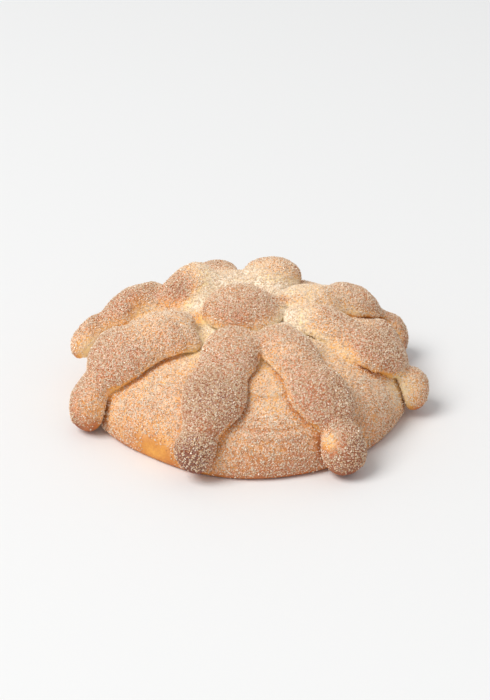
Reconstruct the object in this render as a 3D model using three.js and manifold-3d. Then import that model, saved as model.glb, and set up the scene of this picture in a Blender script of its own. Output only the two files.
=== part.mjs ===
// Pan de muerto: a round sweet bun with eight rolled dough bones laid over it, and a ball of dough on top.
// Each bone runs from the ball down the side of the bun, with an inner lump, a middle lump and a round tip.
// Millimetres, +Z up. The origin is on the table, below the middle of the bread.
import * as THREE from "three";
import { mergeVertices } from "three/addons/utils/BufferGeometryUtils.js";
import Module from "manifold-3d";

const wasm = await Module();
wasm.setup();

// ---- driving dimensions ----
const BUN_RADIUS = 89; // at its widest, a little above the table
const BUN_HEIGHT = 47;
const GAP = 0.3; // kept between pieces that touch
const TURN = 2 * Math.PI;
const COLOURS = { bun: 0xd9a878, knob: 0xc08a66, bone: 0xc9966f };

const BUN = {
  edgeHeight: 5, // height of the widest line
  footRadius: 0.97 * BUN_RADIUS,
  roundness: 2.35, // exponent of the dome: 2 is an ellipse, more is squarer
  swell: 0.03 * BUN_RADIUS, // how far the dough puffs up between two bones that are widePanel apart
  swellPower: 0.7, // under 1 spreads the swell from the middle of the dome towards its top and edge
  widePanel: 45, // degrees
  towards: 278, // the side that the dough has spread to, in degrees
  spread: 0.013, // how far it has spread, as a share of the radius
  oval: 0.018, // how much longer than wide it is that way, as a share of the radius
  // places where its edge is drawn in between two bones: azimuth in degrees, depth as a share of the radius
  drawnIn: [
    { azimuth: 236, depth: 0.032 },
    { azimuth: 326, depth: 0.014 },
  ],
  drawnWidth: 18, // degrees
  sides: 80,
  ringsOnDome: 16,
  ringsOnEdge: 3,
};

const KNOB = {
  radius: 0.25 * BUN_RADIUS,
  halfHeight: 0.31 * BUN_HEIGHT,
  top: 1.35 * BUN_HEIGHT,
  centre: [-2.5, -4],
  lean: -3, // how far its top lies aside of its middle, along X
  roundness: 1.85, // as the bun's
  sides: 32,
  rings: 15,
};

// Shared proportions of a bone, as shares of the bun's radius: its lumps' half widths and half lengths.
const BONE = {
  halfWidths: [0.165, 0.185, 0.125],
  halfLengths: [0.24, 0.2, 0.14],
  waist: 0.13,
  neck: 0.08,
  flatness: [0.66, 0.64, 0.82], // half height over half width, at each lump
  lift: 0.3, // how far a section's middle stands above the bun, against its half height
  blend: 6, // how sharply lumps, waist and neck meet: more is sharper
  sides: 20,
  rings: 24,
};

// azimuth: where the inner lump, middle lump and tip lie, in degrees from +X towards +Y
// along: how far the inner and middle lumps are from the top of the bun, over its skin, in bun radii
// girth: how wide the inner lump, waist, middle lump, neck and tip are, against the shared proportions
// halfLengths: only where they aren't the shared ones
// foot: height of the tip's lower end above the table
// out: how far the tip's middle stands out from the side of the bun
const BONES = [
  {
    name: "bone_front_left",
    azimuth: [259.5, 257.5, 253.7],
    along: [0.5, 0.84],
    girth: [1.08, 1, 0.98, 0.65, 0.95],
    foot: 6,
    out: 5,
  },
  {
    name: "bone_front_right",
    azimuth: [296, 298, 300],
    along: [0.5, 0.84],
    girth: [1, 1, 0.98, 0.7, 1.1],
    foot: 0.8,
    out: 6,
  },
  {
    name: "bone_right",
    azimuth: [341, 338, 345],
    along: [0.46, 0.8],
    girth: [0.95, 1, 0.95, 0.75, 1],
    foot: 2.5,
    out: 3.5,
  },
  {
    name: "bone_right_back",
    azimuth: [17, 24.5, 24],
    along: [0.4, 0.7],
    girth: [1, 1, 0.9, 0.7, 0.9],
    foot: 2,
    out: 4,
  },
  {
    name: "bone_back_right",
    azimuth: [75, 78, 80],
    along: [0.53, 0.84],
    girth: [1.18, 1, 0.72, 1, 0.95],
    foot: 2.5,
    out: 4,
  },
  {
    name: "bone_back_left",
    azimuth: [106, 105, 108],
    along: [0.5, 0.84],
    girth: [0.92, 1, 0.75, 1, 0.95],
    foot: 2.5,
    out: 4,
  },
  {
    name: "bone_left_back",
    azimuth: [129, 160, 174.5],
    along: [0.47, 0.74],
    halfLengths: [0.155, 0.14, 0.17],
    girth: [1.3, 0.45, 1.06, 0.6, 0.78],
    foot: 12.5,
    out: 7.5,
  },
  {
    name: "bone_left",
    azimuth: [211, 205, 207],
    along: [0.535, 0.82],
    halfLengths: [0.17, 0.2, 0.154],
    girth: [1.18, 1.5, 1.2, 1.15, 1.12],
    foot: 0.8,
    out: 6,
  },
];

// ---- solids ----
const toSolid = (geometry) => {
  geometry.deleteAttribute("normal");
  geometry.deleteAttribute("uv");
  const merged = mergeVertices(geometry, 1e-4);
  return new wasm.Manifold(
    new wasm.Mesh({
      numProp: 3,
      vertProperties: merged.attributes.position.array,
      triVerts: new Uint32Array(merged.index.array),
    }),
  );
};

const toGeometry = (solid) => {
  const mesh = solid.getMesh();
  const geometry = new THREE.BufferGeometry();
  geometry.setAttribute("position", new THREE.BufferAttribute(mesh.vertProperties, 3));
  geometry.setIndex(new THREE.BufferAttribute(mesh.triVerts, 1));
  geometry.computeVertexNormals();
  return geometry;
};

// A closed skin over rings of points, each ring running the same way round, with a point at either end.
const skin = (start, rings, end) => {
  const sides = rings[0].length;
  const points = [start, ...rings.flat(), end];
  const last = points.length - 1;
  const faces = [];
  const at = (ring, side) => 1 + ring * sides + (side % sides);
  for (let side = 0; side < sides; side++) {
    faces.push(0, at(0, side + 1), at(0, side));
    for (let ring = 0; ring + 1 < rings.length; ring++) {
      faces.push(at(ring, side), at(ring, side + 1), at(ring + 1, side + 1));
      faces.push(at(ring, side), at(ring + 1, side + 1), at(ring + 1, side));
    }
    faces.push(last, at(rings.length - 1, side), at(rings.length - 1, side + 1));
  }
  const geometry = new THREE.BufferGeometry().setFromPoints(points);
  geometry.setIndex(faces);
  return geometry;
};

// ---- bun ----
// The dome's profile: radius and height at a share of the way from its top to its widest line.
const domePoint = (share, grown = 0) => {
  const angle = (share * Math.PI) / 2;
  const power = 2 / BUN.roundness;
  return new THREE.Vector2(
    (BUN_RADIUS + grown) * Math.sin(angle) ** power,
    BUN.edgeHeight + (BUN_HEIGHT + grown - BUN.edgeHeight) * Math.cos(angle) ** power,
  );
};

// How far the dough puffs up at an angle: nothing under a bone, most half way between two.
const swellAt = (degrees) => {
  const between = (from, to) => (((to - from) % 360) + 360) % 360;
  const after = Math.min(...BONES.map((bone) => between(degrees, bone.azimuth[1])));
  const before = Math.min(...BONES.map((bone) => between(bone.azimuth[1], degrees)));
  const panel = Math.min(1, (before + after) / BUN.widePanel);
  return BUN.swell * panel * Math.sin((Math.PI * before) / (before + after || 1));
};

// The turn from one angle to another, between -180 and 180 degrees.
const turnBetween = (from, to) => ((((to - from + 180) % 360) + 360) % 360) - 180;

// How far the bun reaches at an angle, against its radius.
const reachAt = (degrees) => {
  const away = THREE.MathUtils.degToRad(degrees - BUN.towards);
  const drawnIn = BUN.drawnIn.map(
    ({ azimuth, depth }) => depth * Math.exp(-((turnBetween(azimuth, degrees) / BUN.drawnWidth) ** 2)),
  );
  const drawn = drawnIn.reduce((sum, depth) => sum + depth, 0);
  return 1 + BUN.spread * Math.cos(away) + BUN.oval * Math.cos(2 * away) - drawn;
};

// A point at an angle round the bun, from its distance out and its height.
const turned = ({ x, y }, degrees) => {
  const angle = THREE.MathUtils.degToRad(degrees);
  const radius = x * reachAt(degrees);
  return new THREE.Vector3(radius * Math.cos(angle), radius * Math.sin(angle), y);
};

const bunSolid = (grown = 0) => {
  const ring = (point) =>
    Array.from({ length: BUN.sides }, (_, side) => {
      const degrees = (-side / BUN.sides) * 360;
      return turned(point(degrees), degrees);
    });
  const rings = [];
  for (let i = 1; i <= BUN.ringsOnDome; i++) {
    const share = i / BUN.ringsOnDome;
    const swollen = Math.sin(share * Math.PI) ** BUN.swellPower;
    rings.push(ring((degrees) => domePoint(share, grown + swellAt(degrees) * swollen)));
  }
  for (let i = 1; i <= BUN.ringsOnEdge; i++) {
    const angle = (i / BUN.ringsOnEdge) * (Math.PI / 2);
    const radius = BUN_RADIUS + grown - (BUN_RADIUS - BUN.footRadius) * (1 - Math.cos(angle));
    const height = BUN.edgeHeight - (BUN.edgeHeight + grown) * Math.sin(angle);
    rings.push(ring(() => new THREE.Vector2(radius, height)));
  }
  const top = new THREE.Vector3(0, 0, domePoint(0, grown).y);
  return toSolid(skin(top, rings, new THREE.Vector3(0, 0, -grown)));
};

// ---- bones ----
// The line that a bone follows: down the dome, then straight down its side to the table.
const carrier = (() => {
  const steps = 200;
  const points = Array.from({ length: steps + 1 }, (_, i) => domePoint(i / steps));
  points.push(new THREE.Vector2(BUN_RADIUS, 0));
  const lengths = [0];
  for (let i = 1; i < points.length; i++) lengths.push(lengths[i - 1] + points[i].distanceTo(points[i - 1]));
  const total = lengths[lengths.length - 1];
  const at = (length) => {
    const clamped = Math.min(Math.max(length, 0), total - 1e-6);
    const i = lengths.findIndex((l) => l > clamped) - 1;
    const share = (clamped - lengths[i]) / (lengths[i + 1] - lengths[i]);
    return points[i].clone().lerp(points[i + 1], share);
  };
  return { total, at };
})();

// The way out of the dome at a length along the carrier.
const outwards = (length) => {
  const aside = 3; // wide enough to smooth the slope over the edge of the dome
  const along = carrier.at(length + aside).sub(carrier.at(length - aside)).normalize();
  return new THREE.Vector2(-along.y, along.x);
};

const smoothMax = (values) => values.reduce((sum, value) => sum + value ** BONE.blend, 0) ** (1 / BONE.blend);

// A value that eases from knot to knot.
const eased = (length, knots, values) => {
  const last = knots.length - 1;
  if (length <= knots[0]) return values[0];
  if (length >= knots[last]) return values[last];
  const i = knots.findIndex((knot) => knot > length) - 1;
  const share = THREE.MathUtils.smoothstep(length, knots[i], knots[i + 1]);
  return THREE.MathUtils.lerp(values[i], values[i + 1], share);
};

const boneSolid = (bone) => {
  const { azimuth, along, girth, foot, out } = bone;
  const halfWidths = BONE.halfWidths.map((share, i) => share * girth[2 * i] * BUN_RADIUS);
  const halfLengths = (bone.halfLengths ?? BONE.halfLengths).map((share) => share * BUN_RADIUS);
  const [inner, middle] = along.map((share) => share * BUN_RADIUS);
  const tip = carrier.total - foot - halfLengths[2];
  const places = [inner, middle, tip];
  const halfWidth = (length) => {
    const lumps = places.map(
      (place, i) => halfWidths[i] * Math.sqrt(Math.max(0, 1 - ((length - place) / halfLengths[i]) ** 2)),
    );
    const waist = length > inner && length < middle ? BONE.waist * girth[1] * BUN_RADIUS : 0;
    const neck = length > middle && length < tip ? BONE.neck * girth[3] * BUN_RADIUS : 0;
    return smoothMax([...lumps, waist, neck]);
  };
  const frameAt = (length) => {
    const width = halfWidth(length);
    const height = width * eased(length, places, BONE.flatness);
    const stand = eased(length, [middle, tip], [BONE.lift * height, out]);
    const degrees = eased(length, places, azimuth);
    const angle = THREE.MathUtils.degToRad(degrees);
    const up = outwards(length);
    return {
      width,
      height,
      centre: turned(carrier.at(length).addScaledVector(up, stand), degrees),
      up: new THREE.Vector3(up.x * Math.cos(angle), up.x * Math.sin(angle), up.y),
      side: new THREE.Vector3(-Math.sin(angle), Math.cos(angle), 0),
    };
  };
  const from = inner - halfLengths[0];
  const to = tip + halfLengths[2];
  const rings = [];
  for (let i = 1; i < BONE.rings; i++) {
    const share = (1 - Math.cos((i / BONE.rings) * Math.PI)) / 2;
    const { width, height, centre, up, side } = frameAt(THREE.MathUtils.lerp(from, to, share));
    rings.push(
      Array.from({ length: BONE.sides }, (_, k) => {
        const turn = (k / BONE.sides) * TURN;
        return centre
          .clone()
          .addScaledVector(side, width * Math.cos(turn))
          .addScaledVector(up, height * Math.sin(turn));
      }),
    );
  }
  return toSolid(skin(frameAt(from).centre, rings, frameAt(to).centre));
};

// The slice of space that a bone may fill, half way to its neighbours on either side.
const sectorSolid = (before, after) => {
  const reach = 2 * BUN_RADIUS;
  const corner = (degrees, aside) => {
    const angle = THREE.MathUtils.degToRad(degrees);
    return new THREE.Vector2(
      reach * Math.cos(angle) - aside * Math.sin(angle),
      reach * Math.sin(angle) + aside * Math.cos(angle),
    );
  };
  const bisector = THREE.MathUtils.degToRad((before + after) / 2);
  const back = GAP / 2 / Math.sin(THREE.MathUtils.degToRad((after - before) / 2));
  const apex = new THREE.Vector2(back * Math.cos(bisector), back * Math.sin(bisector));
  const shape = new THREE.Shape([apex, corner(before, GAP / 2), corner(after, -GAP / 2)]);
  const geometry = new THREE.ExtrudeGeometry(shape, { depth: 4 * BUN_HEIGHT, bevelEnabled: false });
  geometry.translate(0, 0, -BUN_HEIGHT);
  return toSolid(geometry);
};

// ---- ball on top ----
const knobSolid = (grown = 0) => {
  const power = 2 / KNOB.roundness;
  const middle = KNOB.top - KNOB.halfHeight;
  const at = (up, radius, turn) => {
    const side = KNOB.centre[0] + KNOB.lean * Math.max(0, up);
    const height = middle + (KNOB.halfHeight + grown) * up;
    const back = KNOB.centre[1];
    return new THREE.Vector3(side + radius * Math.cos(turn), back + radius * Math.sin(turn), height);
  };
  const rings = [];
  for (let i = 1; i < KNOB.rings; i++) {
    const angle = (i / KNOB.rings) * Math.PI;
    const up = Math.sign(Math.cos(angle)) * Math.abs(Math.cos(angle)) ** power;
    const radius = (KNOB.radius + grown) * Math.sin(angle) ** power;
    rings.push(Array.from({ length: KNOB.sides }, (_, k) => at(up, radius, (-k / KNOB.sides) * TURN)));
  }
  return toSolid(skin(at(1, 0, 0), rings, at(-1, 0, 0)));
};

// ---- the bread ----
const crust = (color) => new THREE.MeshStandardMaterial({ color, roughness: 0.75, metalness: 0 });
const bread = new THREE.Group();

const addPiece = (name, solid, color) => {
  const mesh = new THREE.Mesh(toGeometry(solid), crust(color));
  mesh.name = name;
  bread.add(mesh);
};

const bunGrown = bunSolid(GAP);
const knobGrown = knobSolid(GAP);
addPiece("bun", bunSolid(), COLOURS.bun);
addPiece("knob", knobSolid().subtract(bunGrown), COLOURS.knob);

BONES.forEach((bone, i) => {
  const own = bone.azimuth[0];
  const azimuths = ({ azimuth }) => azimuth.map((degrees) => own + turnBetween(own, degrees));
  const previous = azimuths(BONES[(i + BONES.length - 1) % BONES.length]);
  const next = azimuths(BONES[(i + 1) % BONES.length]);
  const before = (Math.max(...previous) + Math.min(...azimuths(bone))) / 2;
  const after = (Math.max(...azimuths(bone)) + Math.min(...next)) / 2;
  const solid = boneSolid(bone).intersect(sectorSolid(before, after)).subtract(bunGrown).subtract(knobGrown);
  addPiece(bone.name, solid, COLOURS.bone);
});

// the origin goes below the middle of the whole bread
const middle = new THREE.Box3().setFromObject(bread).getCenter(new THREE.Vector3());
bread.position.set(-middle.x, -middle.y, 0);

export default bread;
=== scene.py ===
import math

import bmesh
import bpy
import numpy as np
import openvdb as vdb
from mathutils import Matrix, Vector


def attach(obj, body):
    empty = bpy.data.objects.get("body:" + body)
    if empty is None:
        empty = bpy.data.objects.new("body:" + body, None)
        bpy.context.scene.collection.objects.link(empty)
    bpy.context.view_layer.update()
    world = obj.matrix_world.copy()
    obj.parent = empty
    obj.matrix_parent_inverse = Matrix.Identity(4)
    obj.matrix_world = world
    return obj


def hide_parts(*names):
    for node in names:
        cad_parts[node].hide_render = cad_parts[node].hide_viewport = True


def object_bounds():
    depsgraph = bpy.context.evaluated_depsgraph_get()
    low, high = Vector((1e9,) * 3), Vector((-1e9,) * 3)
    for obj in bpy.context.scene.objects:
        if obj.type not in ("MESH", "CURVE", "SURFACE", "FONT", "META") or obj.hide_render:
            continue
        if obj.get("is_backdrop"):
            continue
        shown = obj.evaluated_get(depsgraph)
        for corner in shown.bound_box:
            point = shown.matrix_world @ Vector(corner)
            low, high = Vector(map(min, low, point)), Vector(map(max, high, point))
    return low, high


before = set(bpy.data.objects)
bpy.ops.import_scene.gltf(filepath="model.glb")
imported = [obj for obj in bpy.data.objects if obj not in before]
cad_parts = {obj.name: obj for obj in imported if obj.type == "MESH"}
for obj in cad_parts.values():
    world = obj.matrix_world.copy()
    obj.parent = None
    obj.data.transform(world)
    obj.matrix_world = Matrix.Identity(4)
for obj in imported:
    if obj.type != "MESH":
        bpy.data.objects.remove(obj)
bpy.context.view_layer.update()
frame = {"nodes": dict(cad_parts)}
mm = 0.001


def srgb(red, green, blue):
    # a colour as a picture shows it, 0 to 255, made linear
    def linear(value):
        value = value / 255
        return value / 12.92 if value <= 0.04045 else ((value + 0.055) / 1.055) ** 2.4
    return (linear(red), linear(green), linear(blue), 1.0)


# ---- shader and geometry trees ----
class Wire:
    # an output socket that can be used in sums
    def __init__(self, tree, socket):
        self.tree, self.socket = tree, socket

    def __add__(self, other):
        return self.tree.math("ADD", self, other)

    def __sub__(self, other):
        return self.tree.math("SUBTRACT", self, other)

    def __rsub__(self, other):
        return self.tree.math("SUBTRACT", other, self)

    def __mul__(self, other):
        return self.tree.math("MULTIPLY", self, other)


class Tree:
    def __init__(self, nodeTree):
        self.nodeTree = nodeTree

    def node(self, kind, settings=None, out=0, **sockets):
        # a node of that kind: its settings first, then values or wires for its sockets
        made = self.nodeTree.nodes.new(kind)
        for name, value in (settings or {}).items():
            if name == "stops":
                self.setStops(made.color_ramp, value)
            else:
                setattr(made, name, value)
        for name, value in sockets.items():
            self.feed(made, name, value)
        return Wire(self, made.outputs[out])

    def setStops(self, ramp, stops):
        while len(ramp.elements) < len(stops):
            ramp.elements.new(1.0)
        for element, (place, colour) in zip(ramp.elements, stops):
            element.position, element.color = place, colour

    def feed(self, made, name, value):
        # socket names are given with underscores for spaces, and in_3 is the fourth socket
        if name.startswith("in_"):
            socket = made.inputs[int(name[3:])]
        else:
            socket = made.inputs[name.replace("_", " ")]
        if isinstance(value, Wire):
            self.nodeTree.links.new(value.socket, socket)
        else:
            socket.default_value = value

    def link(self, wire, made, name):
        self.nodeTree.links.new(wire.socket, made.inputs[name])

    def outputOf(self, wire, name):
        # another output of the node that a wire comes from
        return Wire(self, wire.socket.node.outputs[name])

    def math(self, operation, first, second):
        return self.node("ShaderNodeMath", {"operation": operation}, in_0=first, in_1=second)

    def mix(self, first, second, share):
        kind = {"data_type": "RGBA"}
        return self.node("ShaderNodeMix", kind, out=2, in_0=share, in_6=first, in_7=second)

    def scaled(self, vector, factor):
        return self.node("ShaderNodeVectorMath", {"operation": "SCALE"}, in_0=vector, in_3=factor)

    def joined(self, value):
        # a vector with the same number three times
        return self.node("ShaderNodeCombineXYZ", X=value, Y=value, Z=value)


print("frame loaded")

# ---- dough: the shape of the bread as a field of distances ----
doughSettings = {
    "voxel": 0.84 * mm,
    "reach": 14,  # voxels of distance kept on either side of a skin
    "spare": 2,  # voxels of empty margin beyond them
    "band": 3,  # voxels of distance that a skin is made from
    "soften": 1.3,  # voxels of blur that take the facets away
    "fillet": 1.2 * mm,  # how widely two pieces of dough grow together
    "middleFillet": 8 * mm,  # the same round the ball on top
    "frontFillet": 3.2 * mm,  # the same at the front of the ball
    "middle": (26 * mm, 50 * mm),  # the wide fillet fades out between these distances from the axis
    "furtherBack": (14 * mm, 25 * mm),  # and this much further out at the back, from that Y on
    "front": 14 * mm,  # the front of the ball counts in full this far in front of the axis
    "frontReach": (27 * mm, 36 * mm),  # and fades out between these distances
    "underfill": (3 * mm, 2 * mm),  # gaps of this width under a bone are filled, this far in from its edge
    "underfillFrom": (13 * mm, 19 * mm),  # not below these heights, where the tips hang free
    "underfillDrop": 8 * mm,  # what is taken off the filling below them
    "crease": 1.6 * mm,  # depth of the crease along a seam, away from the middle
    "creaseWidth": 1.1 * mm,
    "frontCrease": 0.8,  # its share at the front of the ball
    "tuck": (1.2 * mm, 0.05),  # how far a piece runs on under the next one, and how steeply it dips
    "dents": [(15 * mm, 0.5 * mm), (6.5 * mm, 0.22 * mm), (2.6 * mm, 0.09 * mm)],  # size and depth
    "flatFoot": (1 * mm, 7 * mm),  # the dents fade in between these heights
    "flatBase": 0.01 * mm,  # faces below this height are part of the level base
    "markReach": 3,  # a mark is reckoned out to this many times its size
    # where a thumb pressed a piece in, or where it swells when the depth is below zero:
    # piece, place, size and depth, in mm
    "marks": [
        ("bone_front_left", (-32.5, -87, 30), 7, 3),  # the neck above the front left tip
        ("bone_front_left", (-28, -63, 43), 8, -3),
        ("bone_left", (-29, -33, 48), 6, -4),  # the blunt end's lower corner
        ("bone_left", (-31, -15, 50), 6, -3.5),  # and its upper one
        ("bone_left", (-25, -38, 46), 5, -3.5),
        ("bone_left", (-22, -27, 49), 7, 3.6),
        ("bone_left_back", (-94, 6, 14), 8, 2),
        ("bone_left_back", (-50, 17, 40), 8, -5),  # its flank comes down to the next bone
        ("bone_left_back", (-68, 5, 41), 7, -4),
        ("bone_right_back", (70, 17, 33), 7, -3),  # the neck lies close to the bun
        ("bone_right_back", (58, 9, 40), 8, -3),
        ("bun", (74, 14, 30), 8, -3.5),
        ("bun", (34, -33, 47), 6, -2.5),
        ("bun", (73, 30, 27), 7, -3),  # the bun meets the necks of three tips that hang free
        ("bun", (79, -24, 24), 6, -1.3),
        ("bun", (15, 83.5, 21.5), 6, -1.2),
        ("all", (1, 46, 54), 11, 2.4),  # the saddle between the back lumps
        ("bone_back_left", (-15, 50, 55), 14, 5),
        ("bone_left_back", (-30, 32, 59), 8, -1),
        ("bone_back_right", (4, 47, 57), 7, 2.6),
        ("bun", (-1, 44, 51), 9, -8),
        ("bone_left_back", (-17, 38, 58), 7, 2.5),
        ("bun", (19, -24, 51), 7, -6),  # the dough fills the corner beside the ball
        ("bun", (-34, -70, 35), 5, 1.8),  # the panel dips along the front left bone
        ("bun", (-36, -82, 25), 5, 1.8),
        ("all", (23.4, -16.7, 52.7), 1.6, 1.2),  # a small hole beside the ball
    ],
    # where two pieces ran together in the oven, besides the middle: place and size, in mm
    "joined": [((5, -41, 51), 10), ((-52, 4, 42), 15), ((50, -33, 43), 11), ((46, -3, 47), 9)],
    # stretch lines across the front of the bun: height, depth and width, in mm
    "stretched": [
        (40.8, 0.7, 1.1), (39, -0.9, 1.1), (37.2, 0.8, 1.1), (26.2, 0.7, 1.1), (24.4, -0.9, 1.2),
    ],
    "stretchedFrom": (-8 * mm, 34 * mm),  # from this X to that one
    "stretchedFade": (5 * mm, 8 * mm),  # over this length at the left end and at the right one
    "stretchedFront": (55 * mm, 62 * mm),  # they fade in between these distances in front of the axis
    "stretchedOff": (0.5 * mm, 3 * mm),  # and between these distances from the bones
    "wave": (0.5 * mm, 7 * mm, 0.05),  # height and length of their waves, and their slope
    "fine": 3.5,  # voxels of blur that tell a crease from a ridge
    "broad": 9,  # voxels of blur that tell a lump from a valley
}


class Dough:
    def __init__(self, settings, nodes):
        self.settings = settings
        self.voxel = settings["voxel"]
        low, high = (np.array(corner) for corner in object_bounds())
        spare = settings["reach"] + settings["spare"]
        self.low = np.floor(low / self.voxel).astype(int) - spare
        self.shape = np.ceil(high / self.voxel).astype(int) + spare - self.low
        self.fields = {name: self.fieldOf(node) for name, node in nodes.items()}
        for piece, place, size, depth in settings["marks"]:
            for name, field in self.fields.items():
                if piece in (name, "all"):
                    self.raiseBy(field, place, size, depth * mm)
        self.fuse()
        self.dent()
        self.stretch()
        self.fine = blurred(self.fused, settings["fine"])
        self.broad = blurred(self.fused, settings["broad"])

    def fieldOf(self, node):
        mesh = node.data
        mesh.calc_loop_triangles()
        points = np.empty(len(mesh.vertices) * 3, np.float32)
        mesh.vertices.foreach_get("co", points)
        corners = np.empty(len(mesh.loop_triangles) * 3, np.int32)
        mesh.loop_triangles.foreach_get("vertices", corners)
        grid = vdb.FloatGrid.createLevelSetFromPolygons(
            points.reshape(-1, 3),
            triangles=corners.reshape(-1, 3).astype(np.uint32),
            transform=vdb.createLinearTransform(self.voxel),
            halfWidth=float(self.settings["reach"]),
        )
        field = np.empty(self.shape, np.float32)
        grid.copyToArray(field, ijk=tuple(int(i) for i in self.low))
        return blurred(field, self.settings["soften"])

    def raiseBy(self, field, place, size, amount):
        # adds a soft round hill to a field
        middle = np.array(place) * mm / self.voxel - self.low
        reach = size * mm / self.voxel
        edge = self.settings["markReach"] * reach
        start = np.maximum((middle - edge).astype(int), 0)
        stop = np.minimum((middle + edge).astype(int), self.shape)
        window = tuple(slice(a, b) for a, b in zip(start, stop))
        off = sum((line - at) ** 2 for line, at in zip(np.ogrid[window], middle))
        field[window] += (amount * np.exp(-off / reach**2)).astype(np.float32)

    def axes(self):
        # X, Y and Z of the voxels, shaped so that they spread over the grid
        lines = [(self.low[i] + np.arange(self.shape[i])) * self.voxel for i in range(3)]
        return np.meshgrid(*lines, indexing="ij", sparse=True)

    def fuse(self):
        # pieces grow together where they meet, widely round the ball on top
        settings = self.settings
        nearest = np.full(self.shape, settings["reach"] * self.voxel, np.float32)
        second = nearest.copy()
        for field in self.fields.values():
            second = np.minimum(second, np.maximum(nearest, field))
            nearest = np.minimum(nearest, field)
        x, y, z = self.axes()
        radius = np.hypot(x, y)
        further, fromY = settings["furtherBack"]
        back = further * smoothStep(y, 0, fromY)
        away = smoothStep(radius - back, *settings["middle"]).astype(np.float32)
        away = np.repeat(away, self.shape[2], axis=2)
        for place, size in settings["joined"]:
            together = np.zeros(self.shape, np.float32)
            self.raiseBy(together, place, size, 1)
            away *= 1 - together
        front = smoothStep(-y, 0, settings["front"]) * (1 - smoothStep(radius, *settings["frontReach"]))
        middle = settings["middleFillet"] * (1 - front) + settings["frontFillet"] * front
        fillet = (middle * (1 - away) + settings["fillet"] * away).astype(np.float32)
        near = np.maximum(0, 1 - (second - nearest) / fillet)
        seam = np.exp(-(((second - nearest) / settings["creaseWidth"]) ** 2))
        creased = np.maximum(away, settings["frontCrease"] * front).astype(np.float32)
        width, inset = settings["underfill"]
        covered = np.minimum.accumulate(nearest[:, :, ::-1], axis=2)[:, :, ::-1] + inset
        low = settings["underfillDrop"] * (1 - smoothStep(z, *settings["underfillFrom"]))
        filled = np.maximum(covered, second - width) + low
        self.fused = np.minimum(nearest - near**2 * fillet / 4, filled)
        self.fused = (self.fused + settings["crease"] * seam * creased).astype(np.float32)
        self.nearest, self.second = nearest, second

    def dent(self):
        above = smoothStep(self.axes()[2], *self.settings["flatFoot"]).astype(np.float32)
        for seed, (size, depth) in enumerate(self.settings["dents"]):
            self.fused += uneven(self.shape, size / self.voxel, seed) * above * np.float32(depth)

    def stretch(self):
        # lines that follow the height, fading at both ends and on the bones
        x, y, z = self.axes()
        settings = self.settings
        start, stop = settings["stretchedFrom"]
        left, right = settings["stretchedFade"]
        across = smoothStep(x, start, start + left) * (1 - smoothStep(x, stop - right, stop)) * (y < 0)
        across = across * smoothStep(-y, *settings["stretchedFront"])
        onBun = smoothStep(self.second - self.fields["bun"], *settings["stretchedOff"])
        high, long, slope = settings["wave"]
        wave = high * np.sin(x / long) + slope * x
        for height, depth, width in settings["stretched"]:
            line = np.exp(-(((z + wave - height * mm) / (width * mm)) ** 2))
            self.fused += (line * across * onBun * depth * mm).astype(np.float32)

    def shared(self, values, other, softness):
        # one value for each piece, blended softly across the seams
        total = np.zeros(self.shape, np.float32)
        weights = total.copy()
        for name, field in self.fields.items():
            weight = np.exp((self.nearest - field) / softness)
            weights += weight
            total += weight * np.float32(values.get(name, other))
        return total / weights

    def own(self, name):
        # the fused bread where this piece is the nearest one; past the seam it dips under the others
        field = self.fields[name]
        others = np.where(field <= self.nearest, self.second, self.nearest)
        past = np.maximum(0, field - others)
        length, slope = self.settings["tuck"]
        return self.fused + past * np.float32(slope) + np.maximum(0, past - np.float32(length))

    def skin(self, field):
        band = self.settings["band"] * self.voxel
        inside = np.argwhere(field < band)
        start = np.maximum(inside.min(0) - 1, 0)
        stop = inside.max(0) + 2
        part = field[start[0]:stop[0], start[1]:stop[1], start[2]:stop[2]]
        grid = vdb.FloatGrid(band)
        grid.transform = vdb.createLinearTransform(self.voxel)
        grid.copyFromArray(np.clip(part, -band, band), ijk=tuple(int(i) for i in self.low + start))
        made = grid.convertToPolygons(0.0, 0.0)
        points, quads = made[0].astype(float), made[-1]
        points[:, 2] = np.maximum(points[:, 2], 0)
        return largestPart(points, quads)

    def at(self, field, points):
        # the field's value at each point, between its voxels
        place = points / self.voxel - self.low
        place = np.clip(place, 0, np.array(self.shape) - 1.001)
        cell = place.astype(int)
        share = place - cell
        total = np.zeros(len(points))
        for corner in np.ndindex(2, 2, 2):
            weight = np.prod(np.where(corner, share, 1 - share), axis=1)
            total += weight * field[tuple((cell + corner).T)]
        return total


def blurred(field, sigma):
    count = int(math.ceil(2.5 * sigma))
    weights = np.exp(-0.5 * (np.arange(-count, count + 1) / sigma) ** 2)
    weights = (weights / weights.sum()).astype(np.float32)
    for axis in range(3):
        margin = [(count, count) if i == axis else (0, 0) for i in range(3)]
        padded = np.moveaxis(np.pad(field, margin, mode="edge"), axis, 0)
        length = field.shape[axis]
        total = sum(weight * padded[i:i + length] for i, weight in enumerate(weights))
        field = np.moveaxis(total, 0, axis)
    return np.ascontiguousarray(field)


def largestPart(points, faces):
    # drops the slivers that a crease cuts off inside the next piece, and closed holes
    part = np.arange(len(points))
    before = None
    while before is None or not np.array_equal(part, before):
        before = part.copy()
        np.minimum.at(part, faces.ravel(), np.repeat(part[faces].min(1), faces.shape[1]))
        part = part[part]
    faces = faces[part[faces[:, 0]] == np.bincount(part[faces[:, 0]]).argmax()]
    kept = np.unique(faces)
    return points[kept], np.searchsorted(kept, faces)


def smoothStep(value, low, high):
    share = np.clip((value - low) / (high - low), 0, 1)
    return share * share * (3 - 2 * share)


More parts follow.
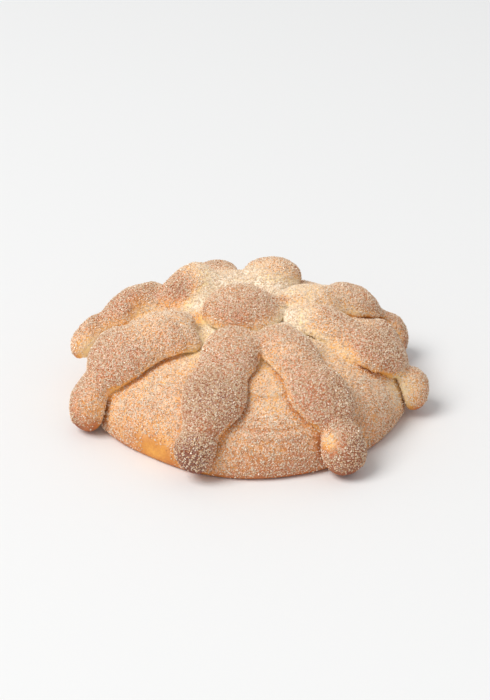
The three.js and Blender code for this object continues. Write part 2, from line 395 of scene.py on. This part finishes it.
def uneven(shape, spacing, seed):
    # smooth random hills and dents about spacing voxels apart
    count = np.ceil(np.array(shape) / spacing).astype(int) + 2
    field = np.random.default_rng(seed).standard_normal(count).astype(np.float32)
    for axis in range(3):
        place = np.arange(shape[axis]) / spacing
        cell = place.astype(int)
        share = smoothStep(place - cell, 0, 1).astype(np.float32)
        share = share.reshape([-1 if i == axis else 1 for i in range(3)])
        low, high = np.take(field, cell, axis), np.take(field, cell + 1, axis)
        field = low + (high - low) * share
    return field


dough = Dough(doughSettings, frame["nodes"])
print("dough fields made", dough.shape)

# ---- how far each spot is baked, and how much sugar it holds ----
bakingSettings = {
    "start": {"bun": 0.42, "knob": 0.3},  # 0 is pale dough, 1 is dark brown
    "boneStart": 0.32,
    "above": (0.5 * mm, 8 * mm, 0.2),  # more on what stands above the bun, between these heights
    "softness": 0.7 * mm,
    "lump": (0.18, 4 * mm),  # more on the lumps, less in the valleys, most on those of this height
    "crease": (-0.18, 0.12),  # along a crease: less in the middle, and more further out, which is painted shade in the crease
    "creaseReach": (35 * mm, 60 * mm),
    "creaseDepth": 0.9 * mm,  # a crease this deep counts in full
    "outwards": (40 * mm, 92 * mm, 0.1),  # more towards the outer ends, between these distances
    "pale": 0.56,  # less in the middle, round the ball
    "paleCentre": (3 * mm, 13 * mm),
    "paleReach": (18 * mm, 48 * mm),
    # the ball's axis, the height where it browns and that plane's tilt
    "ball": ((-2.5 * mm, -4 * mm), 53 * mm, 0.2),
    "ballFade": 3 * mm,  # its brown fades in over this height below and above that plane
    "ballReach": (22 * mm, 27 * mm),  # and out between these distances from its axis
    "upright": 0.65,  # the sugar on an upright face, against 1 on a level one
    "level": (0.1, 0.9),  # the upward parts of a normal that count as upright and as level
    "overhang": (-0.6, -0.1),  # a face that looks down holds no sugar
    "sugarFoot": (0.5 * mm, 3 * mm),  # nor does the foot, below these heights
    "creaseBare": 0.6,  # what a crease lacks of its sugar
    "brown": (0.3, 0.95),  # the bakes where staining starts and where it is full
    "palely": 0.5,  # what the pale grains lack where it is full
    "brownly": (0.02, 0.83),  # the stained grains where there is none, and how many more where it is full
    # spots that the oven browned more or less, and two paler ones that are painted light: place, size in mm
    # and how much
    "patches": [
        ((-62, 13, 47), 10, -0.05), ((-45, 20, 45), 7, 0.15), ((-37, 16, 45), 8, 0.3),
        ((-89, 0, 27), 13, -0.38), ((-12, 48, 54), 12, -0.15), ((-29, 35, 58), 9, -0.16),
        ((-34, 20, 55), 8, 0.32), ((-50, -20, 56), 18, -0.22), ((28, -17, 55), 8, -0.25),
        ((-3, 32, 53), 10, -0.15), ((-33, -25, 50), 9, -0.14), ((-86, -40, 10), 10, 0.1),
        ((-82, -52, 20), 10, -0.2), ((-31, -95, 18), 9, 0.8), ((-17, -76, 40), 14, 0.3),
        # the last spot on this line is a painted highlight: a paler streak on the front right tip's flank
        ((4, -55, 49), 4, 0.3), ((31, -74, 44), 6, 0.02), ((41, -90, 22), 6, -0.45),
        ((49, -84, 15), 10, 0.26), ((47, -73, 38), 9, 0.16), ((36, -24, 50), 8, -0.15),
        ((51, -34, 44), 9, -0.05), ((10, -73, 36), 9, -0.08), ((66, -25, 44), 12, 0.08),
        # the first spot on this line is painted light: it makes the right tip paler, though the lamp leaves
        # it in shade
        ((86, -34, 20), 12, -0.38), ((40, 14, 50), 14, -0.14), ((56, 13, 50), 8, -0.1),
        ((-36, 34, 49), 14, -0.12), ((81, 5, 33), 12, 0.2), ((-10, -19, 58), 8, 0.14),
        ((-26, -6, 47), 8, 0.5), ((21, -10, 51), 7, -0.2), ((28, -88, 4), 22, 0.1),
        ((13, 34, 57), 9, 0.34), ((24, 0, 55), 8, 0.32), ((19, -52, 53), 8, -0.12),
        ((9, -9, 60), 8, 0.2), ((24, 31, 49), 8, 0.12), ((-4, -24, 53), 8, 0.14),
        ((84, 27, 20), 9, -0.12), ((-47, -74, 6), 12, -0.08),
    ],
    # spots that hold less sugar
    "bare": [
        ((-52, -71, 6), 11, 0.8), ((-42, -78, 4), 12, 1), ((-66, -58, 6), 8, 0.4), ((40.8, -91, 20), 4, 0.4),
        ((-30, -96, 6), 8, 0.4), ((10, -90, 2), 20, 0.2), ((60, -66, 3), 18, 0.3), ((-37, 17, 45), 6, 0.4),
        ((-62, 12, 45), 9, 0.5), ((52, -34, 44), 7, 0.35), ((32, -77, 42), 5, 0.5), ((-26, -6, 47), 8, 0.6),
        ((-84, -50, 16), 9, 0.35), ((49, -86, 14), 9, 0.6), ((-4, -24, 53), 7, 0.3), ((-31, -98, 18), 7, 0.5),
    ],
}


def readPoints(mesh):
    points = np.empty(len(mesh.vertices) * 3)
    mesh.vertices.foreach_get("co", points)
    normals = np.empty(len(mesh.vertices) * 3)
    mesh.vertex_normals.foreach_get("vector", normals)
    return points.reshape(-1, 3), normals.reshape(-1, 3)


def writeValues(mesh, name, values):
    layer = mesh.attributes.new(name, "FLOAT", "POINT")
    layer.data.foreach_set("value", values.astype(np.float32))


def creaseAt(settings, points):
    return np.clip(-dough.at(dough.fine, points) / settings["creaseDepth"], 0, 1)


def spotsAt(spots, points):
    total = np.zeros(len(points))
    for place, size, amount in spots:
        off = np.linalg.norm(points / mm - np.array(place), axis=1)
        total += amount * np.exp(-((off / size) ** 2))
    return total


def bakedAt(settings, points):
    x, y, z = points.T
    share, lumpHeight = settings["lump"]
    lump = np.clip(dough.at(dough.broad, points) / lumpHeight, -1, 1)
    baked = dough.at(startField, points)
    inner, outerPaintedShade = settings["crease"]
    further = smoothStep(np.hypot(x, y), *settings["creaseReach"])
    # further out a crease gets darker, which is painted shade along the seams
    baked += share * lump + (inner + (outerPaintedShade - inner) * further) * creaseAt(settings, points)
    low, high, amount = settings["above"]
    baked += amount * smoothStep(dough.at(dough.fields["bun"], points), low, high)
    low, high, amount = settings["outwards"]
    baked += amount * smoothStep(np.hypot(x, y), low, high)
    off = np.hypot(x - settings["paleCentre"][0], y - settings["paleCentre"][1])
    pale = 1 - smoothStep(off, *settings["paleReach"])
    (ballX, ballY), height, tilt = settings["ball"]
    fade = settings["ballFade"]
    ball = smoothStep(z - height - tilt * (y - ballY), -fade, fade)
    ball *= 1 - smoothStep(np.hypot(x - ballX, y - ballY), *settings["ballReach"])
    baked -= settings["pale"] * pale * (1 - ball)
    baked += spotsAt(settings["patches"], points)
    return np.clip(baked, 0, 1)


def sugaredAt(settings, points, normals):
    sugared = 1 - settings["creaseBare"] * creaseAt(settings, points)
    sugared = sugared * np.clip(1 - spotsAt(settings["bare"], points), 0, 1)
    up, height = normals[:, 2], points[:, 2]
    sugared *= smoothStep(up, *settings["overhang"]) * smoothStep(height, *settings["sugarFoot"])
    upright = settings["upright"]
    sugared *= upright + (1 - upright) * smoothStep(up, *settings["level"])
    return sugared


def sharesOf(settings, sugared, baked):
    # clear sugar looks browner on brown crust, so the pale and the stained grains share the crust out
    brown = smoothStep(baked, *settings["brown"])
    few, more = settings["brownly"]
    return {
        "palely": sugared * (1 - settings["palely"] * brown),
        "brownly": sugared * (few + more * brown),
    }


startField = dough.shared(bakingSettings["start"], bakingSettings["boneStart"], bakingSettings["softness"])

# ---- crust ----
crustSettings = {
    "stops": [
        (0.0, srgb(253, 243, 216)),
        (0.22, srgb(250, 222, 160)),
        (0.45, srgb(240, 172, 82)),
        (0.7, srgb(202, 118, 62)),
        (1.0, srgb(128, 66, 42)),
    ],
    "cloud": (110, 3, 0.35),  # scale and detail of the uneven browning, and how much it does
    "speck": (900, 2, 0.22),  # the same, finer
    "grain": (1500, 2),  # scale and detail of the relief
    "flecks": 1500,  # sugar flecks to a metre
    "fleckFade": (0.3, 0.8),  # the random values of flecks without dust and of white ones
    "sugarDust": srgb(255, 238, 222),
    "dust": 0.9,
    "dusted": (0.85, 0.15),  # the share of it in flecks and all over
    "thin": 0.55,  # what dark crust lacks of it
    "rough": (0.2, 0.45),  # roughness added by a fleck, and that of the crust
    "specular": 0.25,
    "relief": 0.4,
    "reliefSize": 0.5 * mm,
}


def makeCrust(settings):
    material = bpy.data.materials.new("crust")
    material.use_nodes = True
    nodeTree = material.node_tree
    shader = nodeTree.nodes["Principled BSDF"]
    tree = Tree(nodeTree)
    place = tree.node("ShaderNodeTexCoord", out=3)
    baked = tree.node("ShaderNodeAttribute", {"attribute_name": "baked"}, out=2)
    sugared = tree.node("ShaderNodeAttribute", {"attribute_name": "sugared"}, out=2)
    fleck = tree.node("ShaderNodeTexVoronoi", out=1, Vector=place, Scale=settings["flecks"])
    fleck = tree.node("ShaderNodeSeparateColor", Color=fleck)
    scale, detail, clouded = settings["cloud"]
    cloud = tree.node("ShaderNodeTexNoise", Vector=place, Scale=scale, Detail=detail)
    scale, detail, specked = settings["speck"]
    speck = tree.node("ShaderNodeTexNoise", Vector=place, Scale=scale, Detail=detail)
    shade = baked + (cloud - 0.5) * clouded + (speck - 0.5) * specked
    colour = tree.node("ShaderNodeValToRGB", {"stops": settings["stops"]}, Fac=shade)
    scale, detail = settings["grain"]
    grain = tree.node("ShaderNodeTexNoise", Vector=place, Scale=scale, Detail=detail)
    low, high = settings["fleckFade"]
    soft = {"interpolation_type": "SMOOTHSTEP"}
    dusty = tree.node("ShaderNodeMapRange", soft, Value=fleck, From_Min=low, From_Max=high)
    thin = 1 - baked * settings["thin"]
    inFlecks, allOver = settings["dusted"]
    dust = (dusty * inFlecks + allOver) * thin * sugared * settings["dust"]
    dusted = tree.mix(colour, settings["sugarDust"], dust)
    bump = tree.node(
        "ShaderNodeBump", Height=speck + grain, Strength=settings["relief"], Distance=settings["reliefSize"],
    )
    added, rough = settings["rough"]
    shader.inputs["Specular IOR Level"].default_value = settings["specular"]
    tree.link(dusted, shader, "Base Color")
    tree.link(dusty * added + rough, shader, "Roughness")
    tree.link(bump, shader, "Normal")
    return material


crust = makeCrust(crustSettings)


def makeMesh(name, points, faces):
    mesh = bpy.data.meshes.new(name)
    mesh.from_pydata(points.tolist(), [], faces.tolist())
    mesh.validate()
    piece = bpy.data.objects.new(name, mesh)
    bpy.context.scene.collection.objects.link(piece)
    mesh.shade_smooth()
    return piece


def joinFlatFaces(mesh, height):
    # the level base needs no small faces
    work = bmesh.new()
    work.from_mesh(mesh)
    flat = [face for face in work.faces if all(vert.co.z < height for vert in face.verts)]
    bmesh.ops.dissolve_faces(work, faces=flat, use_verts=True)
    work.to_mesh(mesh)
    work.free()


def countTriangles(mesh):
    mesh.calc_loop_triangles()
    return len(mesh.loop_triangles)


for name in frame["nodes"]:
    piece = makeMesh("crust_" + name, *dough.skin(dough.own(name)))
    if name == "bun":
        joinFlatFaces(piece.data, doughSettings["flatBase"])
    points, normals = readPoints(piece.data)
    writeValues(piece.data, "baked", bakedAt(bakingSettings, points))
    writeValues(piece.data, "sugared", sugaredAt(bakingSettings, points, normals))
    piece.data.materials.append(crust)
    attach(piece, "root")
    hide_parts(name)
    "bun_crust" if name == "bun" else "bone_crust"
    print(piece.name, countTriangles(piece.data), "triangles")

# ---- sugar grains ----
grainSettings = {
    "lift": 0.6,  # a grain stands out by up to this share of the smallest one
    "turn": 6.3,  # and is turned by up to this many radians about each axis
    "splinter": (3, 2, 0.66),  # sides, rings and half the length, before it is scaled
    "roughness": 0.18,
    "ior": 1.54,
}

sugarSettings = {
    "sugar_coarse": {
        "shape": "block", "on": "palely", "count": 16000, "small": 0.45 * mm, "large": 0.8 * mm,
        "colour": srgb(253, 232, 206), "clear": 0.15, "seed": 11,
    },
    "sugar_clear": {
        "shape": "block", "on": "brownly", "count": 16000, "small": 0.4 * mm, "large": 0.75 * mm,
        "colour": srgb(247, 214, 178), "clear": 0.3, "seed": 12,
    },
    "sugar_white": {
        "shape": "splinter", "on": "sugared", "count": 28000, "small": 0.35 * mm, "large": 0.65 * mm,
        "colour": srgb(255, 238, 218), "clear": 0.0, "seed": 13,
    },
    "sugar_fine": {
        "shape": "splinter", "on": "palely", "count": 32000, "small": 0.4 * mm, "large": 0.7 * mm,
        "colour": srgb(246, 214, 176), "clear": 0.0, "seed": 14,
    },
    "sugar_stained": {
        "shape": "splinter", "on": "brownly", "count": 32000, "small": 0.4 * mm, "large": 0.7 * mm,
        "colour": srgb(198, 138, 94), "clear": 0.0, "seed": 15,
    },
}


def sugarTree(settings, material):
    # strews grains over a skin: the larger its attribute, the more grains
    nodeTree = bpy.data.node_groups.new("strewn_sugar", "GeometryNodeTree")
    face = nodeTree.interface
    face.new_socket("Geometry", in_out="INPUT", socket_type="NodeSocketGeometry")
    face.new_socket("Geometry", in_out="OUTPUT", socket_type="NodeSocketGeometry")
    for name, kind in (("Grains per Area", "Float"), ("Small", "Float"), ("Large", "Float"), ("Seed", "Int")):
        face.new_socket(name, in_out="INPUT", socket_type="NodeSocket" + kind)
    tree = Tree(nodeTree)
    entry = nodeTree.nodes.new("NodeGroupInput")
    leave = nodeTree.nodes.new("NodeGroupOutput")
    given = {socket.name: Wire(tree, socket) for socket in entry.outputs if socket.name}
    sugared = tree.node("GeometryNodeInputNamedAttribute", {"data_type": "FLOAT"}, Name=settings["on"])
    strewn = tree.node(
        "GeometryNodeDistributePointsOnFaces", Mesh=given["Geometry"],
        Density=given["Grains per Area"] * sugared, Seed=given["Seed"],
    )
    normal = tree.outputOf(strewn, "Normal")
    lift = tree.node(
        "FunctionNodeRandomValue", {"data_type": "FLOAT"}, out=1, in_2=0.0,
        in_3=grainSettings["lift"] * settings["small"], Seed=given["Seed"] + 1,
    )
    moved = tree.node("GeometryNodeSetPosition", Geometry=strewn, Offset=tree.scaled(normal, lift))
    vector = {"data_type": "FLOAT_VECTOR"}
    most = (grainSettings["turn"],) * 3
    turn = tree.node("FunctionNodeRandomValue", vector, in_0=(0, 0, 0), in_1=most, Seed=given["Seed"] + 2)
    low = tree.joined(given["Small"])
    high = tree.joined(given["Large"])
    size = tree.node("FunctionNodeRandomValue", vector, in_0=low, in_1=high, Seed=given["Seed"] + 3)
    if settings["shape"] == "block":
        grain = tree.node("GeometryNodeMeshCube", Size=(1, 1, 1))
    else:
        sides, rings, half = grainSettings["splinter"]
        grain = tree.node("GeometryNodeMeshUVSphere", Segments=sides, Rings=rings, Radius=half)
    laid = tree.node("GeometryNodeInstanceOnPoints", Points=moved, Instance=grain, Rotation=turn, Scale=size)
    real = tree.node("GeometryNodeRealizeInstances", Geometry=laid)
    flat = tree.node("GeometryNodeSetShadeSmooth", Geometry=real, Shade_Smooth=False)
    painted = tree.node("GeometryNodeSetMaterial", Geometry=flat, Material=material)
    nodeTree.links.new(painted.socket, leave.inputs[0])
    return nodeTree


def sugarMaterial(name, settings):
    material = bpy.data.materials.new(name)
    material.use_nodes = True
    shader = material.node_tree.nodes["Principled BSDF"]
    shader.inputs["Base Color"].default_value = settings["colour"]
    shader.inputs["Roughness"].default_value = grainSettings["roughness"]
    shader.inputs["IOR"].default_value = grainSettings["ior"]
    shader.inputs["Transmission Weight"].default_value = settings["clear"]
    return material


def strewSugar(skin, name, settings, area):
    material = sugarMaterial(name, settings)
    nodeTree = sugarTree(settings, material)
    modifier = skin.modifiers.new(name, "NODES")
    modifier.node_group = nodeTree
    values = {
        "Grains per Area": settings["count"] / area,
        "Small": settings["small"],
        "Large": settings["large"],
        "Seed": settings["seed"],
    }
    for socket in nodeTree.interface.items_tree:
        if socket.name in values:
            modifier[socket.identifier] = values[socket.name]
    graph = bpy.context.evaluated_depsgraph_get()
    mesh = bpy.data.meshes.new_from_object(skin.evaluated_get(graph), depsgraph=graph)
    skin.modifiers.remove(modifier)
    mesh.name = name
    piece = bpy.data.objects.new(name, mesh)
    bpy.context.scene.collection.objects.link(piece)
    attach(piece, "root")
    print(name, countTriangles(mesh), "triangles")


def sugaredArea(mesh, sugared):
    # the skin's area, weighed with how much sugar it holds
    faces = np.empty(len(mesh.polygons) * 4, np.int32)
    mesh.polygons.foreach_get("vertices", faces)
    areas = np.empty(len(mesh.polygons))
    mesh.polygons.foreach_get("area", areas)
    return float((areas * sugared[faces.reshape(-1, 4)].mean(1)).sum())


skin = makeMesh("skin", *dough.skin(dough.fused))
points, normals = readPoints(skin.data)
sugared = sugaredAt(bakingSettings, points, normals)
baked = bakedAt(bakingSettings, points)
shares = {"sugared": sugared, **sharesOf(bakingSettings, sugared, baked)}
for name, values in shares.items():
    writeValues(skin.data, name, values)
for name, settings in sugarSettings.items():
    strewSugar(skin, name, settings, sugaredArea(skin.data, shares[settings["on"]]))
bpy.data.objects.remove(skin)

# ---- camera, light and floor ----
cameraSettings = {
    "lens": 79.5,
    "distance": 0.85,
    "elevation": 30,
    "target": (0, -0.0007, 0),
    "targetAt": (248 / 490, 390 / 700),  # where the target shows, from the left and from the top
    "sensor": 36,
    "aspect": 490 / 700,
}


def makeCamera(settings):
    data = bpy.data.cameras.new("camera")
    data.lens = settings["lens"]
    data.sensor_fit = "VERTICAL"
    data.sensor_height = settings["sensor"]
    camera = bpy.data.objects.new("camera", data)
    bpy.context.scene.collection.objects.link(camera)
    elevation = math.radians(settings["elevation"])
    across, down = settings["targetAt"]
    half = settings["sensor"] / settings["lens"]
    yaw = math.atan((across - 0.5) * settings["aspect"] * half)
    pitch = elevation - math.atan((down - 0.5) * half)
    away = Vector((0, -math.cos(elevation), math.sin(elevation)))
    camera.location = Vector(settings["target"]) + away * settings["distance"]
    camera.rotation_euler = (math.pi / 2 - pitch, 0, yaw)
    bpy.context.scene.camera = camera


makeCamera(cameraSettings)

lightSettings = {
    "keyPower": 180,
    "keySize": 2.8,
    "keyAway": 5,
    "keyFrom": (210, 54),  # its bearing from +X towards +Y, and its height, in degrees
    "keyColour": (1.0, 0.985, 0.965),
    "sky": 0.55,
    "skyColour": (0.965, 0.985, 1.0, 1.0),
}


def makeLights(settings):
    data = bpy.data.lights.new("key", "AREA")
    data.shape = "DISK"
    data.size = settings["keySize"]
    data.energy = settings["keyPower"]
    data.color = settings["keyColour"]
    light = bpy.data.objects.new("key", data)
    bearing, height = (math.radians(angle) for angle in settings["keyFrom"])
    level = math.cos(height)
    towards = Vector((level * math.cos(bearing), level * math.sin(bearing), math.sin(height)))
    light.location = towards * settings["keyAway"]
    light.rotation_euler = towards.to_track_quat("Z", "Y").to_euler()
    bpy.context.scene.collection.objects.link(light)
    world = bpy.data.worlds.new("studio")
    world.use_nodes = True
    world.node_tree.nodes["Background"].inputs["Color"].default_value = settings["skyColour"]
    world.node_tree.nodes["Background"].inputs["Strength"].default_value = settings["sky"]
    bpy.context.scene.world = world
    bpy.context.scene.view_settings.view_transform = "Standard"


makeLights(lightSettings)

floorSettings = {"size": 8, "colour": (0.86, 0.86, 0.86, 1), "roughness": 0.8}


def makeFloor(settings):
    half = settings["size"] / 2
    corners = np.array([(-half, -half, 0), (half, -half, 0), (half, half, 0), (-half, half, 0)])
    floor = makeMesh("floor", corners, np.array([(0, 1, 2, 3)]))
    material = bpy.data.materials.new("floor")
    material.use_nodes = True
    shader = material.node_tree.nodes["Principled BSDF"]
    shader.inputs["Base Color"].default_value = settings["colour"]
    shader.inputs["Roughness"].default_value = settings["roughness"]
    floor.data.materials.append(material)
    floor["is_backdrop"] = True


makeFloor(floorSettings)
print("camera, light and floor set")


def corners(box):
    return [[float(value) for value in corner] for corner in box]
